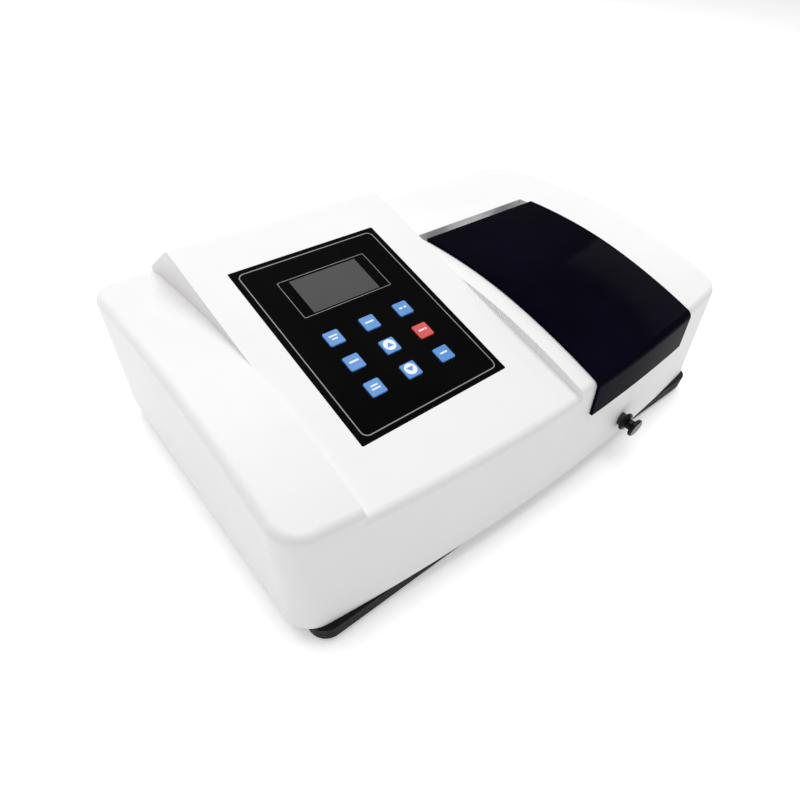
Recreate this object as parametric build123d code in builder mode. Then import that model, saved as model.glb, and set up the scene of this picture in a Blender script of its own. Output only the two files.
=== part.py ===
"""Bench spectrophotometer: housing, control panel, sample compartment and optics.

Units are millimetres, +Z up, -Y the front. The origin is the middle of the footprint at table level.
Depths named d are measured backwards from the line through the two front corners of the housing.
"""
import os
from math import atan, atan2, cos, degrees, hypot, sin

from build123d import *

os.makedirs("parts", exist_ok=True)

# ---------------------------------------------------------------- overall sizes
MID_DEPTH = 135.5           # depth of the object's middle behind the front corners
HALF_WIDTH = 240.0          # housing half width at its lower edge
SHELL_Z = 18.4              # lower edge of the moulded cover
TOP_Z = 175.0               # height where the side walls are drawn to
BACK_DEPTH = 300.0
WALL = 3.0
SIDE_LEAN = 0.0175          # inward lean of the side walls, per mm of height
FRONT_LEAN = 0.12           # backward lean of the front wall, per mm of height
FRONT_CORNER_D = -5.0
BOW = 15.6                  # how far the front bulges forward in the middle
FRONT_CORNER_R = 22.0
BACK_CORNER_R = 24.0
EDGE_R = 7.0                # rounding of the outer top edges
RIDGE_R = 9.0               # rounding where the centre plane meets the back slope

# the three zones of the top
LEFT_STEP_X = -184.1
RIGHT_STEP_X = 11.4
ARCH = [(-45, 92.5), (0, 108.9), (50, 122.0), (100, 130.8), (150, 134.3),
        (200, 133.4), (250, 129.6), (285, 125.5), (315, 120.5)]
SLOPE = 0.2445              # rise of the centre plane per mm of depth
SLOPE_Z0 = 102.2            # height of the centre plane at the front corner line
RIDGE_D = 247.0

# control panel
PANEL_X = -88.9
PANEL_W = 134.4
PANEL_L = 172.0
PANEL_D = 123.95            # depth of the panel's middle
PANEL_T = 1.0
PANEL_PROUD = 0.25
KEY_XS = (-32.0, 0.3, 32.4)
KEY_YS = (-2.2, -27.3, -52.5)
KEY_SIZE = 13.2
KEY_GAP = 0.35
KEY_PROUD = 1.3
LCD_Y = 42.7
LCD_W = 61.3
LCD_H = 35.3

# compartment lid
LID_X0 = 28.4
LID_X1 = 169.9
LID_BACK_D = 189.0
LID_BOTTOM_Z = 77.0
LID_GAP = 0.4
LID_T = 2.3
LID_EDGE_R = 5.0            # the lid bends over the front edge more tightly than the cover
LIP = 3.0                   # how far the lid overlaps the rim
HINGE_D = 193.5
HINGE_Z = 128.0
HINGE_R = 3.6
PIN_R = 1.5
TROUGH_D0 = 186.0
TROUGH_D1 = 203.0
TROUGH_Z = 121.5

# sample changer
ROD_X = 93.0
ROD_Z = 36.0
ROD_R = 2.5
RUN_FIT = 0.05
BEAM_D = 95.0
BEAM_Z = 58.0
CELL_PITCH = 18.0
CELL_COUNT = 4
CELL_SIZE = 12.5
CELL_H = 45.0
GUIDE_XS = (68.0, 118.0)
GUIDE_Z = 30.0
GUIDE_R = 3.0

# base
FLOOR_Z = 5.0
FLOOR_TOP = 8.0
TRAY_X = 230.0
TRAY_FRONT_D = -13.0
TRAY_BACK_D = 292.0
TRAY_TOP = 18.0
BENCH_Z = 18.0

# rear wall fittings
FAN_X = -178.0
FAN_Z = 62.0
INLET_X = 150.0
REAR_Z = 50.0


def yy(d):
    """Y coordinate of a depth behind the front corner line."""
    return d - MID_DEPTH


def front_d(x, z, inset=0.0):
    """Depth of the bowed, leaning front wall at a place."""
    return (FRONT_CORNER_D - BOW * (1 - (x / HALF_WIDTH) ** 2)
            + FRONT_LEAN * (z - SHELL_Z) + inset)


def centre_z(d):
    """Height of the sloping centre plane at a depth."""
    return SLOPE_Z0 + SLOPE * d


def place(part, name, colour):
    """Label a finished part, colour it and write its STEP file."""
    part.label = name
    part.color = Color(*colour)
    export_step(part, f"parts/{name}.step")


WHITE = (0.93, 0.93, 0.92)
BLACK = (0.03, 0.03, 0.035)
GREY = (0.45, 0.46, 0.47)
METAL = (0.75, 0.76, 0.78)
GREEN = (0.05, 0.30, 0.15)
STEEL = (0.62, 0.63, 0.65)
GLASS = (0.80, 0.88, 0.92)
RED = (0.80, 0.15, 0.12)
BLUE = (0.16, 0.40, 0.75)
COPPER = (0.75, 0.45, 0.20)


# ---------------------------------------------------------------- housing form
def plan_outline(z, inset):
    """Plan of the housing at one height: straight back and sides, bowed front."""
    lift = z - SHELL_Z
    half = HALF_WIDTH - SIDE_LEAN * lift - inset
    front = yy(FRONT_CORNER_D + FRONT_LEAN * lift) + inset
    back = yy(BACK_DEPTH) - inset
    with BuildSketch(Plane.XY.offset(z)) as plan:
        with BuildLine():
            Polyline((half, front), (half, back), (-half, back), (-half, front))
            ThreePointArc((-half, front), (0, front - BOW), (half, front))
        make_face()
        corners = plan.vertices()
        fillet(corners.group_by(Axis.Y)[-1], BACK_CORNER_R - inset)
        sides = plan.vertices().filter_by(lambda v: v.Y < 0)
        fillet(sides, FRONT_CORNER_R - inset)
    return plan.sketch


def zone(inset, x0, x1, arched, low=SHELL_Z):
    """One of the three zones of the housing as a solid, before its edges are rounded."""
    with BuildPart() as body:
        add(plan_outline(low, inset))
        add(plan_outline(TOP_Z, inset))
        loft(ruled=True)
        with BuildSketch(Plane.YZ.offset(x0)):
            with BuildLine():
                if arched:
                    crown = Spline(*[(yy(d), z - inset) for d, z in ARCH])
                    Polyline(crown @ 1, (yy(315), -40), (yy(-45), -40), crown @ 0)
                else:
                    Polyline((yy(-45), centre_z(-45) - inset),
                             (yy(RIDGE_D), centre_z(RIDGE_D) - inset),
                             (yy(315), 115.0 - inset),
                             (yy(315), -40),
                             (yy(-45), -40),
                             (yy(-45), centre_z(-45) - inset))
            make_face()
        extrude(amount=x1 - x0, mode=Mode.INTERSECT)
    return body


def side_zone(inset, x0, x1, low=SHELL_Z, edge_r=EDGE_R):
    """A side zone with its outer top edges rounded."""
    radius = max(edge_r - inset, 1.5)
    inner_x = x0 if x1 > 0 else x1
    with BuildPart() as body:
        add(zone(inset, x0, x1, True, low))
        rim = body.edges().filter_by(
            lambda e: e.center().Z > 92 and abs(e.center().X - inner_x) > 0.3)
        fillet(rim, radius)
    return body


def centre_zone(inset, x0, x1, low=SHELL_Z):
    """The centre zone with its ridge and front edge rounded."""
    with BuildPart() as body:
        add(zone(inset, x0, x1, False, low))
        long_edges = body.edges().filter_by(
            lambda e: abs(e.center().X - (x0 + x1) / 2) < 1 and e.center().Z > 90)
        ridge = long_edges.sort_by(Axis.Z)[-1]
        fillet(ridge, RIDGE_R - inset)
        front = body.edges().filter_by(
            lambda e: abs(e.center().X - (x0 + x1) / 2) < 3 and e.length > 50
            and e.center().Z > 90 and e.center().Y < yy(0))
        fillet(front, max(EDGE_R - inset, 1.5))
    return body


panel_plane = Plane(
    origin=(PANEL_X, yy(PANEL_D), centre_z(PANEL_D)),
    x_dir=(1, 0, 0),
    z_dir=(0, -sin(atan(SLOPE)), cos(atan(SLOPE))),
)
key_spots = [(x, y) for y in KEY_YS for x in KEY_XS]
board_posts = [(sx * 56, sy * 72) for sx in (-1, 1) for sy in (-1, 1)]
cover_bosses = [(sx * 226.5, yy(d)) for sx in (-1, 1) for d in (40, 150, 250)]


def box(x0, x1, d0, d1, z0, z1, mode=Mode.ADD):
    """An upright block given by its limits, added to or cut from the part in hand."""
    with Locations(((x0 + x1) / 2, yy((d0 + d1) / 2), (z0 + z1) / 2)):
        Box(x1 - x0, d1 - d0, z1 - z0, mode=mode)


def post(x, d, z0, z1, radius, mode=Mode.ADD):
    """A vertical cylinder from z0 to z1."""
    with Locations((x, yy(d), (z0 + z1) / 2)):
        Cylinder(radius, z1 - z0, mode=mode)


def bar_y(x, z, d0, d1, radius, mode=Mode.ADD):
    """A cylinder running front to back."""
    with Locations((x, yy((d0 + d1) / 2), z)):
        Cylinder(radius, d1 - d0, rotation=(90, 0, 0), mode=mode)


def bar_x(d, z, x0, x1, radius, mode=Mode.ADD):
    """A cylinder running left to right."""
    with Locations(((x0 + x1) / 2, yy(d), z)):
        Cylinder(radius, x1 - x0, rotation=(0, 90, 0), mode=mode)


# ---------------------------------------------------------------- top cover
with BuildPart() as top_cover:
    add(side_zone(0, -260, LEFT_STEP_X))
    add(side_zone(0, RIGHT_STEP_X, 260))
    add(centre_zone(0, LEFT_STEP_X, RIGHT_STEP_X))
    add(side_zone(WALL, -260, LEFT_STEP_X - WALL, -5), mode=Mode.SUBTRACT)
    add(side_zone(WALL, RIGHT_STEP_X + WALL, 260, -5), mode=Mode.SUBTRACT)
    add(centre_zone(WALL, LEFT_STEP_X + WALL, RIGHT_STEP_X - WALL, -5), mode=Mode.SUBTRACT)
    for step in (LEFT_STEP_X, RIGHT_STEP_X):
        box(step - WALL - 1, step + WALL + 1, 8, BACK_DEPTH - WALL, 10, 92, Mode.SUBTRACT)
    # hinge trough behind the lid
    box(LID_X0 - 3, LID_X1 + 3, TROUGH_D0 - 3, TROUGH_D1 + 2.5, TROUGH_Z - 2.5, 131.4)
    box(LID_X0 - 0.4, LID_X1 + 0.4, TROUGH_D0, TROUGH_D1, TROUGH_Z, 150, Mode.SUBTRACT)
    # compartment opening through the top and down the front
    box(LID_X0 + LIP, LID_X1 - LIP, -60, TROUGH_D0 - 3, LID_BOTTOM_Z + LIP, 200, Mode.SUBTRACT)
    # bosses for the screws that come up through the base
    with Locations(*[(x, y, 38) for x, y in cover_bosses]):
        Box(21, 12, 34)
    with Locations(*[(x, y, 36) for x, y in cover_bosses]):
        Cylinder(1.8, 34, mode=Mode.SUBTRACT)
    # pocket, window and key holes of the control panel, and posts for its board
    with BuildSketch(panel_plane):
        RectangleRounded(PANEL_W + 0.5, PANEL_L + 0.5, 1.2)
    extrude(amount=-(PANEL_T - PANEL_PROUD), mode=Mode.SUBTRACT)
    with BuildSketch(panel_plane.offset(-9.4)):
        with Locations(*board_posts):
            Circle(3.2)
    extrude(amount=7.0)
    with BuildSketch(panel_plane.offset(2)):
        with Locations(*key_spots):
            RectangleRounded(KEY_SIZE + 2 * KEY_GAP, KEY_SIZE + 2 * KEY_GAP, 1.8)
        with Locations((0, LCD_Y)):
            Rectangle(LCD_W + 0.4, LCD_H + 0.4)
    extrude(amount=-6, mode=Mode.SUBTRACT)
    # hole for the pull rod's bush
    bar_y(ROD_X, ROD_Z, -30, 0, 6.0, Mode.SUBTRACT)
    # rear openings: fan, power inlet, switch, fuse, data sockets
    bar_y(FAN_X, FAN_Z, 290, 310, 27.0, Mode.SUBTRACT)
    box(INLET_X - 13.7, INLET_X + 13.7, 290, 310, REAR_Z - 10.2, REAR_Z + 10.2, Mode.SUBTRACT)
    box(105.8, 119.2, 290, 310, REAR_Z - 9.7, REAR_Z + 9.7, Mode.SUBTRACT)
    bar_y(190, REAR_Z, 290, 310, 6.3, Mode.SUBTRACT)
    box(12.7, 31.3, 290, 310, REAR_Z - 6.3, REAR_Z + 6.3, Mode.SUBTRACT)
    box(47.7, 60.3, 290, 310, REAR_Z - 6.3, REAR_Z + 6.3, Mode.SUBTRACT)
place(top_cover.part, "top_cover", WHITE)

# ---------------------------------------------------------------- base
with BuildPart() as base_plate:
    with BuildSketch(Plane.XY.offset(FLOOR_Z)):
        with Locations((0, yy((TRAY_FRONT_D + TRAY_BACK_D) / 2))):
            RectangleRounded(2 * TRAY_X, TRAY_BACK_D - TRAY_FRONT_D, 14)
    extrude(amount=TRAY_TOP - FLOOR_Z)
    add(plan_outline(TRAY_TOP, WALL + 0.6))
    extrude(amount=2.2)
    box(-222, 222, 3, 284, FLOOR_TOP, 40, Mode.SUBTRACT)
    # slots in the upstand for the cover's two ribs
    for step in (LEFT_STEP_X, RIGHT_STEP_X):
        box(step - WALL - 0.6, step + WALL + 0.6, -30, 3, TRAY_TOP, 40, Mode.SUBTRACT)
    with Locations(*[(x, y, FLOOR_Z) for x, y in cover_bosses]):
        Cylinder(2.0, 60, mode=Mode.SUBTRACT)
    with Locations(*[(x, y, FLOOR_Z + 1.6) for x, y in cover_bosses]):
        Cylinder(3.8, 3.2, mode=Mode.SUBTRACT)
    # air slots under the electronics
    with Locations((-172, yy(80), FLOOR_Z + 1.5)):
        with GridLocations(10, 0, 7, 1):
            Box(4, 60, 6, mode=Mode.SUBTRACT)
place(base_plate.part, "base_plate", BLACK)

with BuildPart() as rubber_feet:
    for sx in (-1, 1):
        for d in (18, 262):
            post(sx * 200, d, 0, FLOOR_Z, 11)
            post(sx * 200, d, 0, 2, 4, Mode.SUBTRACT)
    chamfer(rubber_feet.faces().sort_by(Axis.Z)[0].outer_wire().edges(), 0.8)
place(rubber_feet.part, "rubber_feet", BLACK)

with BuildPart() as base_screws:
    with Locations(*[(x, y, FLOOR_Z + 1.7) for x, y in cover_bosses]):
        Cylinder(3.4, 2.6)
    with Locations(*[(x, y, FLOOR_Z + 15) for x, y in cover_bosses]):
        Cylinder(1.75, 25)
    with Locations(*[(x, y, FLOOR_Z + 0.9) for x, y in cover_bosses]):
        Box(4.4, 0.9, 1.4, mode=Mode.SUBTRACT)
        Box(0.9, 4.4, 1.4, mode=Mode.SUBTRACT)
place(base_screws.part, "base_screws", STEEL)

# ---------------------------------------------------------------- control panel
with BuildPart() as control_panel:
    with BuildSketch(panel_plane.offset(PANEL_PROUD)):
        RectangleRounded(PANEL_W, PANEL_L, 1.0)
        with Locations(*key_spots):
            RectangleRounded(KEY_SIZE + 2 * KEY_GAP, KEY_SIZE + 2 * KEY_GAP, 1.8,
                             mode=Mode.SUBTRACT)
        with Locations((0, LCD_Y)):
            Rectangle(LCD_W, LCD_H, mode=Mode.SUBTRACT)
    extrude(amount=-PANEL_T)
place(control_panel.part, "control_panel", BLACK)

with BuildPart() as lcd_window:
    with BuildSketch(panel_plane.offset(PANEL_PROUD - 0.15)):
        with Locations((0, LCD_Y)):
            Rectangle(LCD_W - 0.1, LCD_H - 0.1)
    extrude(amount=-1.4)
place(lcd_window.part, "lcd_window", GLASS)

with BuildPart() as lcd_module:
    with BuildSketch(panel_plane.offset(-3.4)):
        with Locations((0, LCD_Y)):
            Rectangle(75, 48)
    extrude(amount=-5.0)
    with BuildSketch(panel_plane.offset(-8.4)):
        with Locations((0, LCD_Y)):
            with GridLocations(68, 41, 2, 2):
                Circle(2.4)
    extrude(amount=-1.0)
    with BuildSketch(panel_plane.offset(-3.4)):
        with Locations((0, LCD_Y)):
            Rectangle(62.5, 36.5)
    extrude(amount=-0.6, mode=Mode.SUBTRACT)
place(lcd_module.part, "lcd_module", GREY)

with BuildPart() as display_board:
    with BuildSketch(panel_plane.offset(-9.4)):
        RectangleRounded(122, 156, 3)
    extrude(amount=-1.6)
    with BuildSketch(panel_plane.offset(-9.4)):
        with Locations(*key_spots):
            Rectangle(6, 6)
    extrude(amount=2.2)
    with BuildSketch(panel_plane.offset(-7.2)):
        with Locations(*key_spots):
            Circle(1.7)
    extrude(amount=0.8)
    with BuildSketch(panel_plane.offset(-11.0)):
        with Locations((-30, 40), (25, 35)):
            Rectangle(14, 14)
        with Locations((0, 68)):
            Rectangle(42, 7)
        with Locations((45, -30), (45, -45), (-48, -20)):
            Rectangle(8, 5)
    extrude(amount=-2.4)
place(display_board.part, "display_board", GREEN)

for index, (kx, ky) in enumerate(key_spots, start=1):
    with BuildPart() as key:
        with BuildSketch(panel_plane.offset(-4.6)):
            with Locations((kx, ky)):
                Rectangle(15.6, 15.6)
        extrude(amount=0.9)
        with BuildSketch(panel_plane.offset(-5.4)):
            with Locations((kx, ky)):
                Circle(2.2)
        extrude(amount=1.2)
        with BuildSketch(panel_plane.offset(-4.0)):
            with Locations((kx, ky)):
                RectangleRounded(KEY_SIZE, KEY_SIZE, 1.5)
        extrude(amount=4.0 + KEY_PROUD)
        cap = key.faces().sort_by(lambda f: f.center().Z - SLOPE * f.center().Y)[-1]
        fillet(cap.edges(), 0.6)
    place(key.part, f"key_{index}", RED if index == 6 else BLUE)

# ---------------------------------------------------------------- compartment lid
lid_outer = LID_GAP + LID_T
skirt_x0 = LID_X0 + LIP + 1.6
skirt_x1 = LID_X1 - LIP - 1.6
lid_knuckles = [(46, 60), (138.3, 152.3)]
with BuildPart() as compartment_lid:
    add(side_zone(-lid_outer, -260, 260, SHELL_Z, LID_EDGE_R))
    add(side_zone(-LID_GAP, -260, 260, 10, LID_EDGE_R), mode=Mode.SUBTRACT)
    box(LID_X0, LID_X1, -60, LID_BACK_D, LID_BOTTOM_Z, 200, Mode.INTERSECT)
    with BuildPart(mode=Mode.PRIVATE) as skirt:
        add(side_zone(-LID_GAP - 0.5, -260, 260))
        add(side_zone(8.0, -260, 260, 10), mode=Mode.SUBTRACT)
        box(skirt_x0, skirt_x1, -60, 180.5, LID_BOTTOM_Z + LIP + 1.6, 200, Mode.INTERSECT)
        box(skirt_x0 + 2, skirt_x1 - 2, -60, 178.5, LID_BOTTOM_Z + LIP + 3.6, 200, Mode.SUBTRACT)
    add(skirt.part)
    for x0, x1 in lid_knuckles:
        box(x0, x1, 187.0, LID_BACK_D, HINGE_Z - 1.5, 135.0)
        box(x0, x1, 187.0, HINGE_D, HINGE_Z - 1.5, HINGE_Z + 3.0)
        bar_x(HINGE_D, HINGE_Z, x0, x1, HINGE_R)
        bar_x(HINGE_D, HINGE_Z, x0 - 1, x1 + 1, PIN_R + RUN_FIT, Mode.SUBTRACT)
place(compartment_lid.part, "compartment_lid", BLACK)

with BuildPart() as hinge_pins:
    for x0, x1 in lid_knuckles:
        bar_x(HINGE_D, HINGE_Z, x0 - 9, x1 + 9, PIN_R)
place(hinge_pins.part, "hinge_pins", STEEL)

with BuildPart() as hinge_brackets:
    for x0, x1 in lid_knuckles:
        for xa, xb in ((x0 - 8.4, x0 - 0.4), (x1 + 0.4, x1 + 8.4)):
            bar_x(HINGE_D, HINGE_Z, xa, xb, HINGE_R)
            box(xa, xb, HINGE_D - 3, HINGE_D + 3, TROUGH_Z, HINGE_Z)
            bar_x(HINGE_D, HINGE_Z, xa - 1, xb + 1, PIN_R, Mode.SUBTRACT)
place(hinge_brackets.part, "hinge_brackets", BLACK)

# ---------------------------------------------------------------- sample compartment
with BuildPart() as sample_compartment:
    box(36, 162, 6, 176, BENCH_Z, 160)
    box(38, 160, 8, 174, BENCH_Z + 2, 170, Mode.SUBTRACT)
    box(30, 170, 0, 8, 77.0, 170, Mode.SUBTRACT)
    # sill forward to the cover's front wall
    box(36, 162, -30, 8, 75.0, 77.0)
    add(side_zone(WALL + 0.4, -260, 260, 10), mode=Mode.INTERSECT)
    bar_x(BEAM_D, BEAM_Z, 30, 170, 7.0, Mode.SUBTRACT)
    bar_y(ROD_X, ROD_Z, 0, 12, 4.0, Mode.SUBTRACT)
place(sample_compartment.part, "sample_compartment", BLACK)

with BuildPart() as guide_rods:
    for x in GUIDE_XS:
        bar_y(x, GUIDE_Z, 8, 174, GUIDE_R)
place(guide_rods.part, "guide_rods", STEEL)

cell_depths = [BEAM_D + CELL_PITCH * i for i in range(CELL_COUNT)]
SLIDER_D0 = cell_depths[0] - CELL_PITCH / 2
SLIDER_D1 = cell_depths[-1] + CELL_PITCH / 2
WELL_FLOOR = 42.0
ROD_SEAT = 12.0             # length of the rod held in the carriage
with BuildPart() as cell_carriage:
    box(58, 128, SLIDER_D0, SLIDER_D1, 24, 39)
    box(ROD_X - 13, ROD_X + 13, SLIDER_D0, SLIDER_D1, 39, 74)
    for x in GUIDE_XS:
        bar_y(x, GUIDE_Z, SLIDER_D0 - 1, SLIDER_D1 + 1, GUIDE_R + RUN_FIT, Mode.SUBTRACT)
    for d in cell_depths:
        box(ROD_X - 6.4, ROD_X + 6.4, d - 6.4, d + 6.4, WELL_FLOOR, 80, Mode.SUBTRACT)
        box(ROD_X - 14, ROD_X + 14, d - 4, d + 4, 50, 67, Mode.SUBTRACT)
    bar_y(ROD_X, ROD_Z, SLIDER_D0 - 1, SLIDER_D0 + ROD_SEAT, ROD_R, Mode.SUBTRACT)
place(cell_carriage.part, "cell_carriage", GREY)

with BuildPart() as cuvettes:
    half = CELL_SIZE / 2
    for d in cell_depths:
        box(ROD_X - half, ROD_X + half, d - half, d + half, WELL_FLOOR, WELL_FLOOR + CELL_H)
        box(ROD_X - half + 1.25, ROD_X + half - 1.25, d - half + 1.25, d + half - 1.25,
            WELL_FLOOR + 1.25, 100, Mode.SUBTRACT)
place(cuvettes.part, "cuvettes", GLASS)

with BuildPart() as pull_rod:
    bar_y(ROD_X, ROD_Z, -26, SLIDER_D0 + ROD_SEAT, ROD_R)
place(pull_rod.part, "pull_rod", STEEL)

with BuildPart() as pull_knob:
    with BuildSketch(Plane.YZ.offset(ROD_X)):
        with BuildLine():
            Polyline((yy(-33), ROD_Z), (yy(-33), ROD_Z + 7.4), (yy(-32), ROD_Z + 8.4),
                     (yy(-30.2), ROD_Z + 8.4), (yy(-29.0), ROD_Z + 7.0),
                     (yy(-28.2), ROD_Z + 4.6), (yy(-24.6), ROD_Z + 4.6),
                     (yy(-23.8), ROD_Z + 7.0), (yy(-22.6), ROD_Z + 8.4),
                     (yy(-20.6), ROD_Z + 8.4), (yy(-19.6), ROD_Z + 7.4),
                     (yy(-19.6), ROD_Z), (yy(-33), ROD_Z))
        make_face()
    revolve(axis=Axis((ROD_X, 0, ROD_Z), (0, 1, 0)))
    bar_y(ROD_X, ROD_Z, -26, 0, ROD_R, Mode.SUBTRACT)
place(pull_knob.part, "pull_knob", BLACK)

with BuildPart() as rod_bushing:
    bar_y(ROD_X, ROD_Z, -18.2, -6, 5.95)
    bar_y(ROD_X, ROD_Z, -11.6, -9.0, 9.0)
    bar_y(ROD_X, ROD_Z, -30, 0, ROD_R + RUN_FIT, Mode.SUBTRACT)
place(rod_bushing.part, "rod_bushing", BLACK)

# ---------------------------------------------------------------- optics
with BuildPart() as optical_bench:
    with BuildSketch(Plane.XY.offset(12)):
        with BuildLine():
            Polyline((-214, yy(118)), (-125, yy(118)), (-125, yy(60)), (30, yy(60)),
                     (30, yy(5)), (214, yy(5)), (214, yy(272)), (-214, yy(272)),
                     (-214, yy(118)))
        make_face()
    extrude(amount=BENCH_Z - 12)
    for x, d in ((-200, 132), (-200, 258), (-110, 75), (45, 20), (200, 20), (200, 258), (0, 258)):
        post(x, d, FLOOR_TOP, 12, 7)
place(optical_bench.part, "optical_bench", METAL)

MONO_X0 = -118.0
MONO_X1 = 26.0
MONO_D0 = 64.0
MONO_D1 = 262.0
MONO_TOP = 86.0
SLIT_D_IN = 230.0
with BuildPart() as mono_housing:
    box(MONO_X0, MONO_X1, MONO_D0, MONO_D1, BENCH_Z, MONO_TOP)
    box(MONO_X0 + 5, MONO_X1 - 5, MONO_D0 + 5, MONO_D1 - 5, BENCH_Z + 5, 120, Mode.SUBTRACT)
    bar_x(BEAM_D, BEAM_Z, 0, 40, 5.0, Mode.SUBTRACT)
    bar_x(SLIT_D_IN, BEAM_Z, -130, -100, 5.0, Mode.SUBTRACT)
    post(-46, 112, BENCH_Z - 1, 30, 4.0, Mode.SUBTRACT)
place(mono_housing.part, "mono_housing", GREY)

with BuildPart() as mono_cover:
    box(MONO_X0, MONO_X1, MONO_D0, MONO_D1, MONO_TOP, MONO_TOP + 2)
    for x in (MONO_X0 + 8, (MONO_X0 + MONO_X1) / 2, MONO_X1 - 8):
        for d in (MONO_D0 + 3, MONO_D1 - 3):
            post(x, d, MONO_TOP + 2, MONO_TOP + 3.6, 2.4)
place(mono_cover.part, "mono_cover", METAL)

with BuildPart() as slit_plates:
    for x0, x1, d in ((MONO_X0 + 5, MONO_X0 + 6.2, SLIT_D_IN), (MONO_X1 - 6.2, MONO_X1 - 5, BEAM_D)):
        box(x0, x1, d - 12, d + 12, BEAM_Z - 12, BEAM_Z + 12)
        box(x0 - 1, x1 + 1, d - 0.6, d + 0.6, BEAM_Z - 5, BEAM_Z + 5, Mode.SUBTRACT)
place(slit_plates.part, "slit_plates", STEEL)

with BuildPart() as collimating_mirrors:
    for x, d, turn in ((2, 236, -42), (-96, 150, 62)):
        with Locations(Location((x, yy(d), 47), (0, 0, turn))):
            Box(34, 8, 48)
            with Locations((0, 4, BEAM_Z - 47)):
                Cylinder(13, 3, rotation=(90, 0, 0))
place(collimating_mirrors.part, "collimating_mirrors", METAL)

GRATING_X = -46.0
GRATING_D = 112.0
MOTOR_X = GRATING_X + 36
MOTOR_D = GRATING_D - 20
GEAR_TEETH = 64
PINION_TEETH = 16
GEAR_REACH = hypot(36, 20)
PINION_PITCH_R = GEAR_REACH * PINION_TEETH / (GEAR_TEETH + PINION_TEETH)
GEAR_PITCH_R = GEAR_REACH - PINION_PITCH_R
MESH_ANGLE = degrees(atan2(-20, 36))
ADDENDUM = 0.7
DEDENDUM = 1.15
TOOTH_W = 1.15
SHAFT_R = 1.5


def gear(x, d, z0, z1, pitch_r, teeth, start):
    """A spur gear blank with plain teeth, the first one at the start angle."""
    post(x, d, z0, z1, pitch_r - DEDENDUM)
    with Locations((x, yy(d), (z0 + z1) / 2)):
        with PolarLocations(pitch_r - DEDENDUM, teeth, start_angle=start):
            Box(2 * (ADDENDUM + DEDENDUM), TOOTH_W, z1 - z0)


with BuildPart() as grating_table:
    post(GRATING_X, GRATING_D, BENCH_Z + 0.5, 31, 3.95)
    post(GRATING_X, GRATING_D, 31, 36, 20)
    with Locations((GRATING_X, yy(GRATING_D), 42)):
        Box(30, 6, 12)
    gear(GRATING_X, GRATING_D, 25, 28, GEAR_PITCH_R, GEAR_TEETH, MESH_ANGLE)
place(grating_table.part, "grating_table", METAL)

with BuildPart() as grating:
    box(GRATING_X - 15, GRATING_X + 15, GRATING_D - 3, GRATING_D + 3, 48, 76)
place(grating.part, "grating", GLASS)

with BuildPart() as grating_motor:
    post(MOTOR_X, MOTOR_D, BENCH_Z + 5, 24.0, 12)
    post(MOTOR_X, MOTOR_D, 29.0, 58, 12)
    post(MOTOR_X, MOTOR_D, 23.5, 30, SHAFT_R)
    box(MOTOR_X - 12, MOTOR_X + 12, MOTOR_D - 14, MOTOR_D - 10, BENCH_Z + 5, 30)
place(grating_motor.part, "grating_motor", STEEL)

with BuildPart() as motor_pinion:
    gear(MOTOR_X, MOTOR_D, 24.5, 28.5, PINION_PITCH_R, PINION_TEETH,
         180 + MESH_ANGLE + 180 / PINION_TEETH)
    post(MOTOR_X, MOTOR_D, 20, 30, SHAFT_R + RUN_FIT, Mode.SUBTRACT)
place(motor_pinion.part, "motor_pinion", COPPER)

WHEEL_X = -138.0
WHEEL_Z = 78.0
with BuildPart() as filter_wheel:
    bar_x(SLIT_D_IN, WHEEL_Z, WHEEL_X - 1.5, WHEEL_X + 1.5, 28)
    bar_x(SLIT_D_IN, WHEEL_Z, WHEEL_X - 4, WHEEL_X + 4, 5)
    with Locations((WHEEL_X, yy(SLIT_D_IN), WHEEL_Z)):
        with Locations(Rotation(0, 90, 0)):
            with PolarLocations(20, 6):
                Cylinder(5.5, 10, mode=Mode.SUBTRACT)
    bar_x(SLIT_D_IN, WHEEL_Z, WHEEL_X - 5, WHEEL_X + 5, SHAFT_R + RUN_FIT, Mode.SUBTRACT)
place(filter_wheel.part, "filter_wheel", BLACK)

with BuildPart() as filter_motor:
    bar_x(SLIT_D_IN, WHEEL_Z, -133.5, MONO_X0, 10)
    bar_x(SLIT_D_IN, WHEEL_Z, -141.5, -133, SHAFT_R)
    box(-130, MONO_X0, SLIT_D_IN - 13, SLIT_D_IN + 13, MONO_TOP - 16, MONO_TOP - 3)
place(filter_motor.part, "filter_motor", STEEL)

with BuildPart() as lamp_house:
    box(-206, -150, 202, 260, BENCH_Z, 92)
    box(-203, -153, 205, 257, BENCH_Z + 3, 89, Mode.SUBTRACT)
    bar_x(SLIT_D_IN, BEAM_Z, -160, -140, 10.0, Mode.SUBTRACT)
    with Locations((-178, yy(231), 92)):
        with GridLocations(0, 9, 1, 5):
            Box(40, 4, 10, mode=Mode.SUBTRACT)
    with Locations((-178, yy(260), 60)):
        with GridLocations(8, 0, 5, 1):
            Box(4, 10, 40, mode=Mode.SUBTRACT)
place(lamp_house.part, "lamp_house", METAL)

with BuildPart() as lamp_socket:
    post(-180, SLIT_D_IN, BENCH_Z + 3, 38, 9)
    box(-192, -168, SLIT_D_IN - 12, SLIT_D_IN + 12, BENCH_Z + 3, 26)
place(lamp_socket.part, "lamp_socket", WHITE)

with BuildPart() as halogen_lamp:
    post(-180, SLIT_D_IN, 38, 48, 4.5)
    post(-180, SLIT_D_IN, 48, 66, 6)
    fillet(halogen_lamp.edges().sort_by(Axis.Z)[-1], 3.5)
place(halogen_lamp.part, "halogen_lamp", GLASS)

with BuildPart() as condenser_lens:
    bar_x(SLIT_D_IN, BEAM_Z, -153.0, -146.5, 9.9)
place(condenser_lens.part, "condenser_lens", GLASS)

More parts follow.
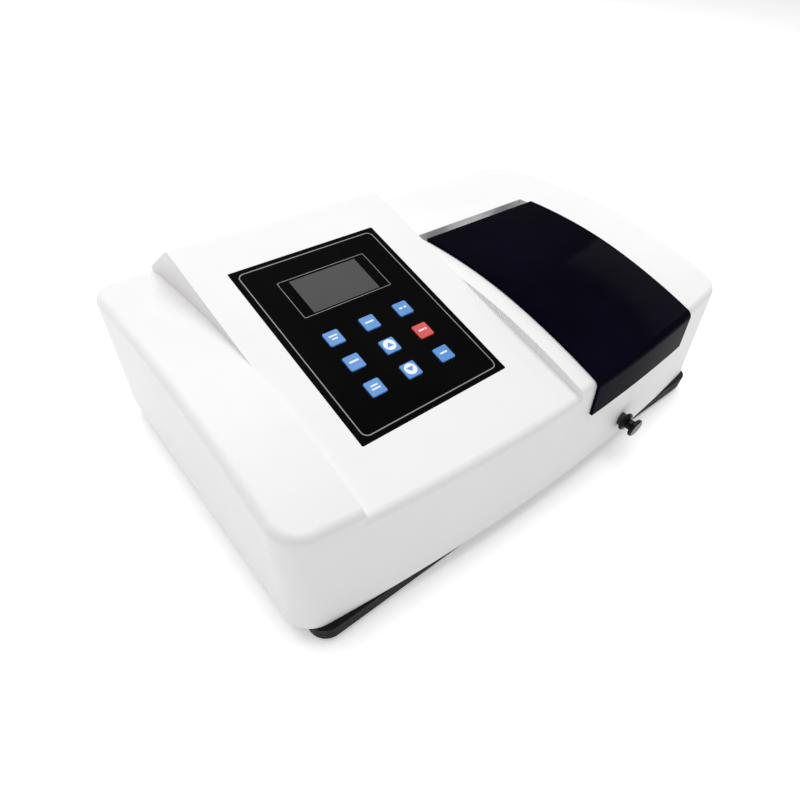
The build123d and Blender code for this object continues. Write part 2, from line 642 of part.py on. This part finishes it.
with BuildPart() as detector_housing:
    box(170, 206, 76, 114, BENCH_Z, 82)
    box(173, 203, 79, 111, BENCH_Z + 3, 79, Mode.SUBTRACT)
    bar_x(BEAM_D, BEAM_Z, 160, 175, 6.0, Mode.SUBTRACT)
place(detector_housing.part, "detector_housing", METAL)

with BuildPart() as photodiode:
    bar_x(BEAM_D, BEAM_Z, 176, 180, 5.5)
    box(180, 181.6, 80, 110, BENCH_Z + 3, 78)
place(photodiode.part, "photodiode", GREEN)

# ---------------------------------------------------------------- electronics
with BuildPart() as main_board:
    box(-120, 22, 8, 54, 14, 15.6)
    for x in (-115, 17):
        for d in (13, 49):
            post(x, d, FLOOR_TOP, 14, 3)
    for x, d, w, l, h in ((-95, 30, 22, 22, 3), (-60, 25, 14, 10, 3), (-20, 38, 12, 20, 9),
                          (8, 30, 10, 30, 8), (-60, 46, 40, 8, 9), (-30, 16, 16, 8, 11)):
        box(x - w / 2, x + w / 2, d - l / 2, d + l / 2, 15.6, 15.6 + h)
place(main_board.part, "main_board", GREEN)

with BuildPart() as power_supply:
    box(-214, -132, 10, 52, 14, 15.6)
    for x in (-210, -136):
        for d in (14, 48):
            post(x, d, FLOOR_TOP, 14, 3)
    for x, d, r, h in ((-196, 24, 7, 26), (-178, 24, 7, 26), (-160, 20, 5, 16)):
        post(x, d, 15.6, 15.6 + h, r)
    box(-205, -145, 40, 46, 15.6, 45)
place(power_supply.part, "power_supply", GREEN)

with BuildPart() as transformer:
    box(-206, -146, 62, 110, FLOOR_TOP, 56)
    box(-194, -184, 56, 116, 20, 44, Mode.SUBTRACT)
    box(-168, -158, 56, 116, 20, 44, Mode.SUBTRACT)
    box(-184.5, -167.5, 56, 116, 20, 44)
    box(-212, -140, 70, 102, FLOOR_TOP, 10)
place(transformer.part, "transformer", COPPER)

# ---------------------------------------------------------------- rear wall
with BuildPart() as fan_frame:
    box(FAN_X - 30, FAN_X + 30, 281.5, 296.8, FAN_Z - 30, FAN_Z + 30)
    bar_y(FAN_X, FAN_Z, 275, 300, 28.5, Mode.SUBTRACT)
    bar_y(FAN_X, FAN_Z, 281.5, 283.5, 12)
    bar_y(FAN_X, FAN_Z, 283.0, 292.0, SHAFT_R)
    for k in range(3):
        with Locations(Location((FAN_X, yy(282.5), FAN_Z), (0, 90 + 120 * k, 0))):
            with Locations((20, 0, 0)):
                Box(20, 2, 4)
place(fan_frame.part, "fan_frame", BLACK)

with BuildPart() as fan_rotor:
    bar_y(FAN_X, FAN_Z, 284.2, 295.5, 13)
    for k in range(7):
        with Locations(Location((FAN_X, yy(290), FAN_Z), (0, 360 / 7 * k, 0))):
            with Locations(Location((19.5, 0, 0), (35, 0, 0))):
                Box(15, 1.6, 12)
    bar_y(FAN_X, FAN_Z, 280, 293, SHAFT_R + RUN_FIT, Mode.SUBTRACT)
place(fan_rotor.part, "fan_rotor", BLACK)

with BuildPart() as fan_grille:
    for r in (8, 15, 22):
        with Locations((FAN_X, yy(301.2), FAN_Z)):
            Torus(r, 0.9, rotation=(90, 0, 0))
    with Locations((FAN_X, yy(301.2), FAN_Z)):
        Torus(29.5, 1.2, rotation=(90, 0, 0))
    for k in range(2):
        with Locations(Location((FAN_X, yy(301.2), FAN_Z), (0, 45 + 90 * k, 0))):
            Box(72, 1.8, 1.8)
    for sx in (-1, 1):
        for sz in (-1, 1):
            bar_y(FAN_X + sx * 24.7, FAN_Z + sz * 24.7, 300.05, 303.6, 3.2)
place(fan_grille.part, "fan_grille", STEEL)

with BuildPart() as power_inlet:
    box(INLET_X - 13.5, INLET_X + 13.5, 276, 300, REAR_Z - 10, REAR_Z + 10)
    box(INLET_X - 20, INLET_X + 20, 300.05, 302.2, REAR_Z - 12.5, REAR_Z + 12.5)
    box(INLET_X - 11.5, INLET_X + 11.5, 284, 310, REAR_Z - 8, REAR_Z + 8, Mode.SUBTRACT)
    for k in (-1, 0, 1):
        box(INLET_X + 6 * k - 1, INLET_X + 6 * k + 1, 283, 298, REAR_Z - 2.5, REAR_Z + 2.5)
place(power_inlet.part, "power_inlet", BLACK)

SWITCH_X = 112.5
ROCKER_D = 297.0
with BuildPart() as switch_frame:
    box(SWITCH_X - 8.5, SWITCH_X + 8.5, 300.05, 301.8, REAR_Z - 12, REAR_Z + 12)
    box(SWITCH_X - 6.5, SWITCH_X + 6.5, 280, 300.05, REAR_Z - 9.5, REAR_Z + 9.5)
    box(SWITCH_X - 5.2, SWITCH_X + 5.2, 288, 310, REAR_Z - 8.4, REAR_Z + 8.4, Mode.SUBTRACT)
    bar_x(ROCKER_D, REAR_Z, SWITCH_X - 6.0, SWITCH_X + 6.0, 1.0 + RUN_FIT, Mode.SUBTRACT)
place(switch_frame.part, "switch_frame", BLACK)

with BuildPart() as power_rocker:
    with BuildSketch(Plane.YZ.offset(SWITCH_X - 4.8)):
        with BuildLine():
            Polyline((yy(293), REAR_Z - 6.8), (yy(302.2), REAR_Z - 7.6), (yy(301.0), REAR_Z),
                     (yy(302.2), REAR_Z + 7.6), (yy(293), REAR_Z + 6.8),
                     (yy(293), REAR_Z - 6.8))
        make_face()
    extrude(amount=9.6)
    bar_x(ROCKER_D, REAR_Z, SWITCH_X - 5.9, SWITCH_X + 5.9, 1.0)
place(power_rocker.part, "power_rocker", RED)

with BuildPart() as fuse_holder:
    bar_y(190, REAR_Z, 272, 300.05, 6.0)
    bar_y(190, REAR_Z, 300.05, 304.0, 8.0)
    with Locations((190, yy(304), REAR_Z)):
        Box(9, 2.4, 1.6, mode=Mode.SUBTRACT)
place(fuse_holder.part, "fuse_holder", BLACK)

with BuildPart() as data_ports:
    box(13, 31, 282, 300.05, REAR_Z - 6, REAR_Z + 6)
    box(6, 38, 300.05, 301.2, REAR_Z - 8, REAR_Z + 8)
    box(15, 29, 291, 310, REAR_Z - 4, REAR_Z + 4, Mode.SUBTRACT)
    box(48, 60, 282, 300.05, REAR_Z - 6, REAR_Z + 6)
    box(44, 64, 300.05, 301.2, REAR_Z - 9, REAR_Z + 9)
    box(50, 58, 291, 310, REAR_Z - 4, REAR_Z + 4, Mode.SUBTRACT)
place(data_ports.part, "data_ports", METAL)
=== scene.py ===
"""Looks of the bench spectrophotometer: materials, panel printing, display, studio and camera."""
from math import atan, cos, pi, radians, sin

import bmesh
import bpy
from mathutils import Matrix, Vector


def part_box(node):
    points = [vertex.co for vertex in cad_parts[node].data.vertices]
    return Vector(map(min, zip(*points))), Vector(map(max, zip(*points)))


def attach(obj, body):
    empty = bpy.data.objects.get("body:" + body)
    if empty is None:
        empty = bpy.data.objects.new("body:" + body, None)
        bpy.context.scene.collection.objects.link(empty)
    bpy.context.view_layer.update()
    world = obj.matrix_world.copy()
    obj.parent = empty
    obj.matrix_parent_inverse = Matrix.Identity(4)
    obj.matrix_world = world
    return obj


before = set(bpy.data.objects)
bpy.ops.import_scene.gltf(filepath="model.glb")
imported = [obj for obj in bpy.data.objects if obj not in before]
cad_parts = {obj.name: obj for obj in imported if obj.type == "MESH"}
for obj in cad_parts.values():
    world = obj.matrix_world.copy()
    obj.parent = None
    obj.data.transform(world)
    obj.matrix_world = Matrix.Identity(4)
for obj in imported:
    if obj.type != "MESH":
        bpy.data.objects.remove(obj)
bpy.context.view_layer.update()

# ---------------------------------------------------------------- panel frame
PANEL_SLOPE = 0.2445            # rise of the sloping panel per unit of depth
TILT = atan(PANEL_SLOPE)
PANEL_W = 0.1344
PANEL_L = 0.1720
PANEL_HALF_T = 0.0005           # half the panel's thickness
PRINT_T = 0.00006               # thickness of a printed line or legend
PRINT_LIFT = 0.00001            # gap under the panel's printing
ARROW_LIFT = 0.00007            # an arrow sits on its disc
KEY_RISE = 0.00107              # a key's cap stands this far above the panel

low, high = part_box("control_panel")
PANEL_MID = Vector(((low[0] + high[0]) / 2, (low[1] + high[1]) / 2, (low[2] + high[2]) / 2))
PANEL_NORMAL = Vector((0, -sin(TILT), cos(TILT)))
PANEL_UP = Vector((0, cos(TILT), sin(TILT)))
PANEL_TOP = PANEL_MID + PANEL_NORMAL * PANEL_HALF_T


def panel_matrix(u, v, lift=0.0):
    """Matrix that puts a flat piece on the panel: u across, v up the slope, from its middle."""
    where = PANEL_TOP + Vector((u, 0, 0)) + PANEL_UP * v + PANEL_NORMAL * lift
    return Matrix.Translation(where) @ Matrix.Rotation(TILT, 4, "X")


# ---------------------------------------------------------------- materials
GLASS_IOR = 1.5


def new_material(name):
    """An empty node material with its principled shader."""
    mat = bpy.data.materials.new(name)
    mat.use_nodes = True
    nodes = mat.node_tree.nodes
    shader = next(n for n in nodes if n.type == "BSDF_PRINCIPLED")
    return mat, mat.node_tree, shader


def noise(tree, scale, detail=3.0):
    """A noise texture in object coordinates."""
    coords = tree.nodes.new("ShaderNodeTexCoord")
    tex = tree.nodes.new("ShaderNodeTexNoise")
    tex.inputs["Scale"].default_value = scale
    tex.inputs["Detail"].default_value = detail
    tree.links.new(coords.outputs["Object"], tex.inputs["Vector"])
    return tex.outputs["Fac"]


def spread(tree, value, low_out, high_out, low_in=0.35, high_in=0.65):
    """Value mapped from one range to another."""
    node = tree.nodes.new("ShaderNodeMapRange")
    node.inputs["From Min"].default_value = low_in
    node.inputs["From Max"].default_value = high_in
    node.inputs["To Min"].default_value = low_out
    node.inputs["To Max"].default_value = high_out
    tree.links.new(value, node.inputs["Value"])
    return node.outputs["Result"]


def two_tone(tree, value, dark, light):
    """A colour between two, by a value."""
    ramp = tree.nodes.new("ShaderNodeValToRGB")
    ramp.color_ramp.elements[0].position = 0.3
    ramp.color_ramp.elements[1].position = 0.7
    ramp.color_ramp.elements[0].color = (*dark, 1)
    ramp.color_ramp.elements[1].color = (*light, 1)
    tree.links.new(value, ramp.inputs["Fac"])
    return ramp.outputs["Color"]


def bump(tree, shader, height, strength, distance):
    """Fine relief on the shader's normal."""
    node = tree.nodes.new("ShaderNodeBump")
    node.inputs["Strength"].default_value = strength
    node.inputs["Distance"].default_value = distance
    tree.links.new(height, node.inputs["Height"])
    tree.links.new(node.outputs["Normal"], shader.inputs["Normal"])


def moulded(name, dark, light, rough, grain=2600, depth=0.00003, blotch=22, strength=0.35,
            specular=0.5):
    """Moulded plastic, rubber or paper: soft blotches, fine grain, varied gloss."""
    mat, tree, shader = new_material(name)
    large = noise(tree, blotch)
    fine = noise(tree, grain, 2.0)
    tree.links.new(two_tone(tree, large, dark, light), shader.inputs["Base Color"])
    tree.links.new(spread(tree, noise(tree, blotch * 9), rough[0], rough[1]),
                   shader.inputs["Roughness"])
    bump(tree, shader, fine, strength, depth)
    shader.inputs["Specular IOR Level"].default_value = specular
    return mat


def brushed(name, dark, light, rough, stretch):
    """Metal with fine drawn lines along one axis."""
    mat, tree, shader = new_material(name)
    coords = tree.nodes.new("ShaderNodeTexCoord")
    mapping = tree.nodes.new("ShaderNodeMapping")
    mapping.inputs["Scale"].default_value = stretch
    lines = tree.nodes.new("ShaderNodeTexNoise")
    lines.inputs["Scale"].default_value = 60
    lines.inputs["Detail"].default_value = 4
    tree.links.new(coords.outputs["Object"], mapping.inputs["Vector"])
    tree.links.new(mapping.outputs["Vector"], lines.inputs["Vector"])
    tree.links.new(two_tone(tree, lines.outputs["Fac"], dark, light), shader.inputs["Base Color"])
    tree.links.new(spread(tree, lines.outputs["Fac"], rough[0], rough[1]),
                   shader.inputs["Roughness"])
    bump(tree, shader, lines.outputs["Fac"], 0.15, 0.00005)
    shader.inputs["Metallic"].default_value = 1.0
    return mat


def clear(name, tint, rough):
    """Glass with faint smears in its gloss."""
    mat, tree, shader = new_material(name)
    tree.links.new(two_tone(tree, noise(tree, 40), [c * 0.97 for c in tint], tint),
                   shader.inputs["Base Color"])
    tree.links.new(spread(tree, noise(tree, 90), rough[0], rough[1]), shader.inputs["Roughness"])
    shader.inputs["Transmission Weight"].default_value = 1.0
    shader.inputs["IOR"].default_value = GLASS_IOR
    return mat


white = moulded("white_cover", (0.80, 0.79, 0.795), (0.82, 0.81, 0.815), (0.42, 0.50),
                grain=2300, depth=0.00002, blotch=14, strength=0.2, specular=0.25)
black_base = moulded("black_base", (0.006, 0.006, 0.007), (0.010, 0.010, 0.011), (0.5, 0.62),
                     grain=1800, depth=0.00005, specular=0.08)
rubber = moulded("rubber", (0.012, 0.012, 0.012), (0.02, 0.02, 0.02), (0.75, 0.9),
                 grain=1500, depth=0.00008)
panel_black = moulded("panel_film", (0.0022, 0.0022, 0.0024), (0.0034, 0.0034, 0.0037),
                      (0.30, 0.38), grain=3400, depth=0.00001, strength=0.15, specular=0.003)
lid_black = moulded("lid_gloss", (0.0016, 0.0014, 0.0040), (0.0030, 0.0026, 0.0075),
                    (0.07, 0.12), grain=120, depth=0.00002, blotch=9, strength=0.05,
                    specular=0.004)
black_plastic = moulded("black_plastic", (0.010, 0.010, 0.011), (0.018, 0.018, 0.019),
                        (0.42, 0.55), grain=2000, depth=0.00004)
black_anodised = moulded("black_anodised", (0.012, 0.012, 0.013), (0.02, 0.02, 0.021),
                         (0.45, 0.6), grain=3000, depth=0.00003)
knob_black = moulded("knob_gloss", (0.003, 0.003, 0.003), (0.006, 0.006, 0.006), (0.16, 0.24),
                     grain=900, depth=0.00001, specular=0.15)
key_blue = moulded("key_blue", (0.055, 0.215, 0.56), (0.075, 0.26, 0.63), (0.30, 0.38),
                   grain=2600, depth=0.00002, blotch=60)
key_red = moulded("key_red", (0.55, 0.040, 0.036), (0.64, 0.056, 0.048), (0.30, 0.38),
                  grain=2600, depth=0.00002, blotch=60)
legend_white = moulded("legend_white", (0.70, 0.78, 0.88), (0.78, 0.84, 0.92), (0.4, 0.5),
                       grain=3000, depth=0.00001, blotch=80)
line_grey = moulded("line_grey", (0.20, 0.20, 0.205), (0.25, 0.25, 0.255), (0.4, 0.5),
                    grain=3000, depth=0.00001, blotch=80)
steel = brushed("bright_steel", (0.50, 0.51, 0.53), (0.66, 0.67, 0.69), (0.22, 0.38), (1, 14, 14))
alloy = brushed("alloy", (0.60, 0.61, 0.63), (0.72, 0.73, 0.75), (0.30, 0.46), (1, 16, 1))
brass = brushed("brass", (0.62, 0.42, 0.16), (0.76, 0.55, 0.25), (0.25, 0.4), (14, 14, 1))
ceramic = moulded("ceramic", (0.76, 0.73, 0.66), (0.84, 0.81, 0.75), (0.55, 0.7), grain=1400)
laminations = brushed("laminations", (0.12, 0.12, 0.13), (0.26, 0.26, 0.28), (0.4, 0.6), (1, 1, 60))
grey_plastic = moulded("grey_plastic", (0.20, 0.205, 0.21), (0.26, 0.265, 0.27), (0.45, 0.6))
glass = clear("clear_glass", (0.95, 0.97, 0.98), (0.01, 0.04))


def circuit_board():
    """Green solder resist with thin tracks."""
    mat, tree, shader = new_material("circuit_board")
    coords = tree.nodes.new("ShaderNodeTexCoord")
    brick = tree.nodes.new("ShaderNodeTexBrick")
    brick.inputs["Scale"].default_value = 90
    brick.inputs["Mortar Size"].default_value = 0.06
    brick.inputs["Color1"].default_value = (0.010, 0.105, 0.045, 1)
    brick.inputs["Color2"].default_value = (0.014, 0.125, 0.055, 1)
    brick.inputs["Mortar"].default_value = (0.030, 0.20, 0.090, 1)
    tree.links.new(coords.outputs["Object"], brick.inputs["Vector"])
    tree.links.new(brick.outputs["Color"], shader.inputs["Base Color"])
    tree.links.new(spread(tree, noise(tree, 150), 0.25, 0.42), shader.inputs["Roughness"])
    bump(tree, shader, brick.outputs["Fac"], 0.3, 0.00008)
    return mat


def ruled_mirror():
    """A diffraction grating: a mirror with fine vertical rulings."""
    mat, tree, shader = new_material("ruled_mirror")
    coords = tree.nodes.new("ShaderNodeTexCoord")
    wave = tree.nodes.new("ShaderNodeTexWave")
    wave.inputs["Scale"].default_value = 900
    tree.links.new(coords.outputs["Object"], wave.inputs["Vector"])
    tree.links.new(two_tone(tree, wave.outputs["Fac"], (0.62, 0.60, 0.72), (0.80, 0.82, 0.84)),
                   shader.inputs["Base Color"])
    bump(tree, shader, wave.outputs["Fac"], 0.2, 0.00002)
    shader.inputs["Metallic"].default_value = 1.0
    shader.inputs["Roughness"].default_value = 0.12
    return mat


def display_face():
    """The grey face of the display: a faint dot grid under the window."""
    mat, tree, shader = new_material("display_face")
    coords = tree.nodes.new("ShaderNodeTexCoord")
    brick = tree.nodes.new("ShaderNodeTexBrick")
    brick.offset = 0.0
    brick.inputs["Scale"].default_value = 520
    brick.inputs["Brick Width"].default_value = 0.25
    brick.inputs["Row Height"].default_value = 0.25
    brick.inputs["Mortar Size"].default_value = 0.03
    brick.inputs["Color1"].default_value = (0.072, 0.070, 0.070, 1)
    brick.inputs["Color2"].default_value = (0.076, 0.074, 0.074, 1)
    brick.inputs["Mortar"].default_value = (0.064, 0.062, 0.062, 1)
    tree.links.new(coords.outputs["Object"], brick.inputs["Vector"])
    tree.links.new(brick.outputs["Color"], shader.inputs["Base Color"])
    tree.links.new(spread(tree, noise(tree, 70), 0.30, 0.42), shader.inputs["Roughness"])
    shader.inputs["Specular IOR Level"].default_value = 0.06
    return mat


board_green = circuit_board()
grating_mirror = ruled_mirror()
lcd_grey = display_face()

LOOKS = {
    "top_cover": white,
    "base_plate": black_base,
    "rubber_feet": rubber,
    "control_panel": panel_black,
    "lcd_window": lcd_grey,
    "lcd_module": grey_plastic,
    "compartment_lid": lid_black,
    "pull_knob": knob_black,
    "grating": grating_mirror,
    "motor_pinion": brass,
    "lamp_socket": ceramic,
    "transformer": laminations,
    "sample_compartment": black_anodised,
    "filter_wheel": black_anodised,
    "cell_carriage": black_anodised,
}
GROUPS = (
    (steel, "base_screws hinge_pins guide_rods pull_rod fan_grille slit_plates grating_motor"
            " filter_motor"),
    (black_plastic, "hinge_brackets rod_bushing fan_frame fan_rotor power_inlet switch_frame"
                    " fuse_holder power_rocker"),
    (board_green, "display_board main_board power_supply photodiode"),
    (alloy, "grating_table collimating_mirrors optical_bench mono_housing mono_cover lamp_house"
            " detector_housing data_ports"),
    (glass, "halogen_lamp condenser_lens cuvettes"),
)
for mat, names in GROUPS:
    for name in names.split():
        LOOKS[name] = mat
for number in range(1, 10):
    LOOKS[f"key_{number}"] = key_red if number == 6 else key_blue

for name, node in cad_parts.items():
    look = LOOKS.get(name, grey_plastic)
    if not node.material_slots:
        node.data.materials.append(look)
    for slot in node.material_slots:
        slot.material = look


# ---------------------------------------------------------------- flat printing
def flat_piece(name, outlines, matrix, mat, body, thick=PRINT_T):
    """A thin printed shape from closed outlines, placed by a matrix and riding on a body."""
    bm = bmesh.new()
    for points in outlines:
        faces = [bm.faces.new([bm.verts.new((x, y, 0)) for x, y in points])]
        raised = bmesh.ops.extrude_face_region(bm, geom=faces)
        moved = [g for g in raised["geom"] if isinstance(g, bmesh.types.BMVert)]
        bmesh.ops.translate(bm, verts=moved, vec=(0, 0, thick))
    bmesh.ops.recalc_face_normals(bm, faces=bm.faces)
    bm.transform(matrix)
    return finish_mesh(name, bm, mat, body)


def finish_mesh(name, bm, mat, body):
    """An object from a bmesh, with its material and body."""
    mesh = bpy.data.meshes.new(name)
    bm.to_mesh(mesh)
    bm.free()
    mesh.materials.append(mat)
    obj = bpy.data.objects.new(name, mesh)
    bpy.context.scene.collection.objects.link(obj)
    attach(obj, body)
    return obj


def rounded(width, height, radius, steps=8):
    """Points round a rectangle with rounded corners."""
    points = []
    for sx, sy, start in ((1, 1, 0), (-1, 1, 90), (-1, -1, 180), (1, -1, 270)):
        cx = sx * (width / 2 - radius)
        cy = sy * (height / 2 - radius)
        for k in range(steps + 1):
            angle = radians(start + 90 * k / steps)
            points.append((cx + radius * cos(angle), cy + radius * sin(angle)))
    return points


def ring_piece(name, outer, inner, matrix, mat, body, thick=PRINT_T):
    """A thin printed line between two outlines with the same number of points."""
    bm = bmesh.new()
    rows = []
    for points, z in ((outer, 0), (outer, thick), (inner, thick), (inner, 0)):
        rows.append([bm.verts.new((x, y, z)) for x, y in points])
    count = len(outer)
    for a in range(4):
        for k in range(count):
            n = (k + 1) % count
            b = (a + 1) % 4
            bm.faces.new((rows[a][k], rows[a][n], rows[b][n], rows[b][k]))
    bmesh.ops.recalc_face_normals(bm, faces=bm.faces)
    bm.transform(matrix)
    return finish_mesh(name, bm, mat, body)


def panel_ring(name, u, v, width, height, radius, line):
    """A rounded frame line printed on the panel."""
    ring_piece(name, rounded(width, height, radius),
               rounded(width - 2 * line, height - 2 * line, max(radius - line, 0.0001)),
               panel_matrix(u, v, PRINT_LIFT), line_grey, "housing")


FRAME_W = 0.930 * PANEL_W
FRAME_L = 0.952 * PANEL_L
panel_ring("panel_frame_line", 0.0, 0.0, FRAME_W, FRAME_L, 0.0054, 0.0008)
panel_ring("display_line", 0.0003, 0.249 * PANEL_L, 0.600 * PANEL_W, 0.228 * PANEL_L,
           0.0012, 0.00045)


# ---------------------------------------------------------------- key legends
def bar(cx, cy, width, height):
    """A small upright rectangle outline."""
    return [(cx - width / 2, cy - height / 2), (cx + width / 2, cy - height / 2),
            (cx + width / 2, cy + height / 2), (cx - width / 2, cy + height / 2)]


def disc(radius, steps=40):
    """A round outline."""
    return [(radius * cos(2 * pi * k / steps), radius * sin(2 * pi * k / steps))
            for k in range(steps)]


def triangle(size, up):
    """An arrow head pointing up or down the panel."""
    way = 1 if up else -1
    return [(-size * way, -0.55 * size * way), (size * way, -0.55 * size * way),
            (0, 0.75 * size * way)]


DISC_R = 0.0050
ARROW_SIZE = 0.0030
UP_KEY = 5
BARS = {
    1: [bar(0, 0.0012, 0.0072, 0.0013), bar(0, -0.0016, 0.0050, 0.0013)],
    2: [bar(0, 0, 0.0076, 0.0015)],
    3: [bar(-0.0018, 0, 0.0030, 0.0015), bar(0.0024, 0, 0.0024, 0.0015)],
    4: [bar(0, 0, 0.0080, 0.0015)],
    6: [bar(-0.0012, 0, 0.0050, 0.0015), bar(0.0030, 0, 0.0014, 0.0015)],
    7: [bar(0, 0.0012, 0.0060, 0.0013), bar(0, -0.0016, 0.0074, 0.0013)],
    9: [bar(0, 0, 0.0066, 0.0015)],
}


def key_matrix(node, lift):
    """Matrix on top of a key's cap."""
    a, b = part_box(node)
    middle = Vector([(a[i] + b[i]) / 2 for i in range(3)])
    offset = middle - PANEL_TOP
    u = offset.x
    v = offset.dot(PANEL_UP)
    return panel_matrix(u, v, KEY_RISE + lift)


for number in range(1, 10):
    node = f"key_{number}"
    body = f"key_{number}_body"
    if number in BARS:
        flat_piece(f"legend_{number}", BARS[number], key_matrix(node, 0), legend_white, body)
    else:
        flat_piece(f"legend_{number}", [disc(DISC_R)], key_matrix(node, 0), legend_white, body)
        flat_piece(f"arrow_{number}", [triangle(ARROW_SIZE, number == UP_KEY)],
                   key_matrix(node, ARROW_LIFT), key_blue, body)

# ---------------------------------------------------------------- studio
FLOOR_HALF = 40.0               # far enough out that no view shows the edge near the object
floor_bm = bmesh.new()
bmesh.ops.create_grid(floor_bm, x_segments=2, y_segments=2, size=FLOOR_HALF)
floor_mesh = bpy.data.meshes.new("floor")
floor_bm.to_mesh(floor_mesh)
floor_bm.free()
floor = bpy.data.objects.new("floor", floor_mesh)
bpy.context.scene.collection.objects.link(floor)
floor_mesh.materials.append(moulded("floor_paper", (0.93, 0.93, 0.93), (0.95, 0.95, 0.95),
                                    (0.85, 0.95), grain=300, depth=0.00001, blotch=3))
floor_shader = next(n for n in floor_mesh.materials[0].node_tree.nodes
                    if n.type == "BSDF_PRINCIPLED")
floor_shader.inputs["Emission Color"].default_value = (1, 1, 1, 1)
floor_shader.inputs["Emission Strength"].default_value = 0.34

world = bpy.data.worlds.new("studio")
bpy.context.scene.world = world
world.use_nodes = True
background = next(n for n in world.node_tree.nodes if n.type == "BACKGROUND")
background.inputs["Color"].default_value = (1.0, 1.0, 1.0, 1)
background.inputs["Strength"].default_value = 0.45


def lamp(name, place, target, size, watts, colour=(1, 1, 1)):
    """A square area light aimed at a point."""
    data = bpy.data.lights.new(name, "AREA")
    data.size = size
    data.energy = watts
    data.color = colour
    obj = bpy.data.objects.new(name, data)
    bpy.context.scene.collection.objects.link(obj)
    obj.location = place
    aim = Vector(target) - Vector(place)
    obj.rotation_euler = aim.to_track_quat("-Z", "Y").to_euler()


lamp("key_light", (0.1, 0.7, 2.2), (0, 0, 0.1), 2.4, 50)
lamp("left_light", (-1.8, 0.3, 0.7), (0, 0, 0.1), 1.0, 1)
lamp("right_light", (1.9, 0.1, 0.8), (0, 0, 0.1), 1.0, 6)

# ---------------------------------------------------------------- camera
CAMERA_PLACE = Vector((-0.2955, -0.2751, 0.3672))
AZIMUTH = radians(41.43)
ELEVATION = radians(48.09)
ROLL = radians(-3.72)
forward = Vector((sin(AZIMUTH) * cos(ELEVATION), cos(AZIMUTH) * cos(ELEVATION),
                  -sin(ELEVATION)))
level = Vector((cos(AZIMUTH), -sin(AZIMUTH), 0))
down = forward.cross(level)
right = cos(ROLL) * level + sin(ROLL) * down
below = -sin(ROLL) * level + cos(ROLL) * down
camera_data = bpy.data.cameras.new("camera")
camera_data.lens = 23.97
camera_data.sensor_width = 36
camera_data.shift_x = 0.0181
camera_data.shift_y = 0.0577
camera_data.clip_start = 0.01
camera = bpy.data.objects.new("camera", camera_data)
bpy.context.scene.collection.objects.link(camera)
axes = Matrix((right, -below, -forward)).transposed().to_4x4()
camera.matrix_world = Matrix.Translation(CAMERA_PLACE) @ axes
bpy.context.scene.camera = camera
bpy.context.scene.view_settings.view_transform = "Standard"
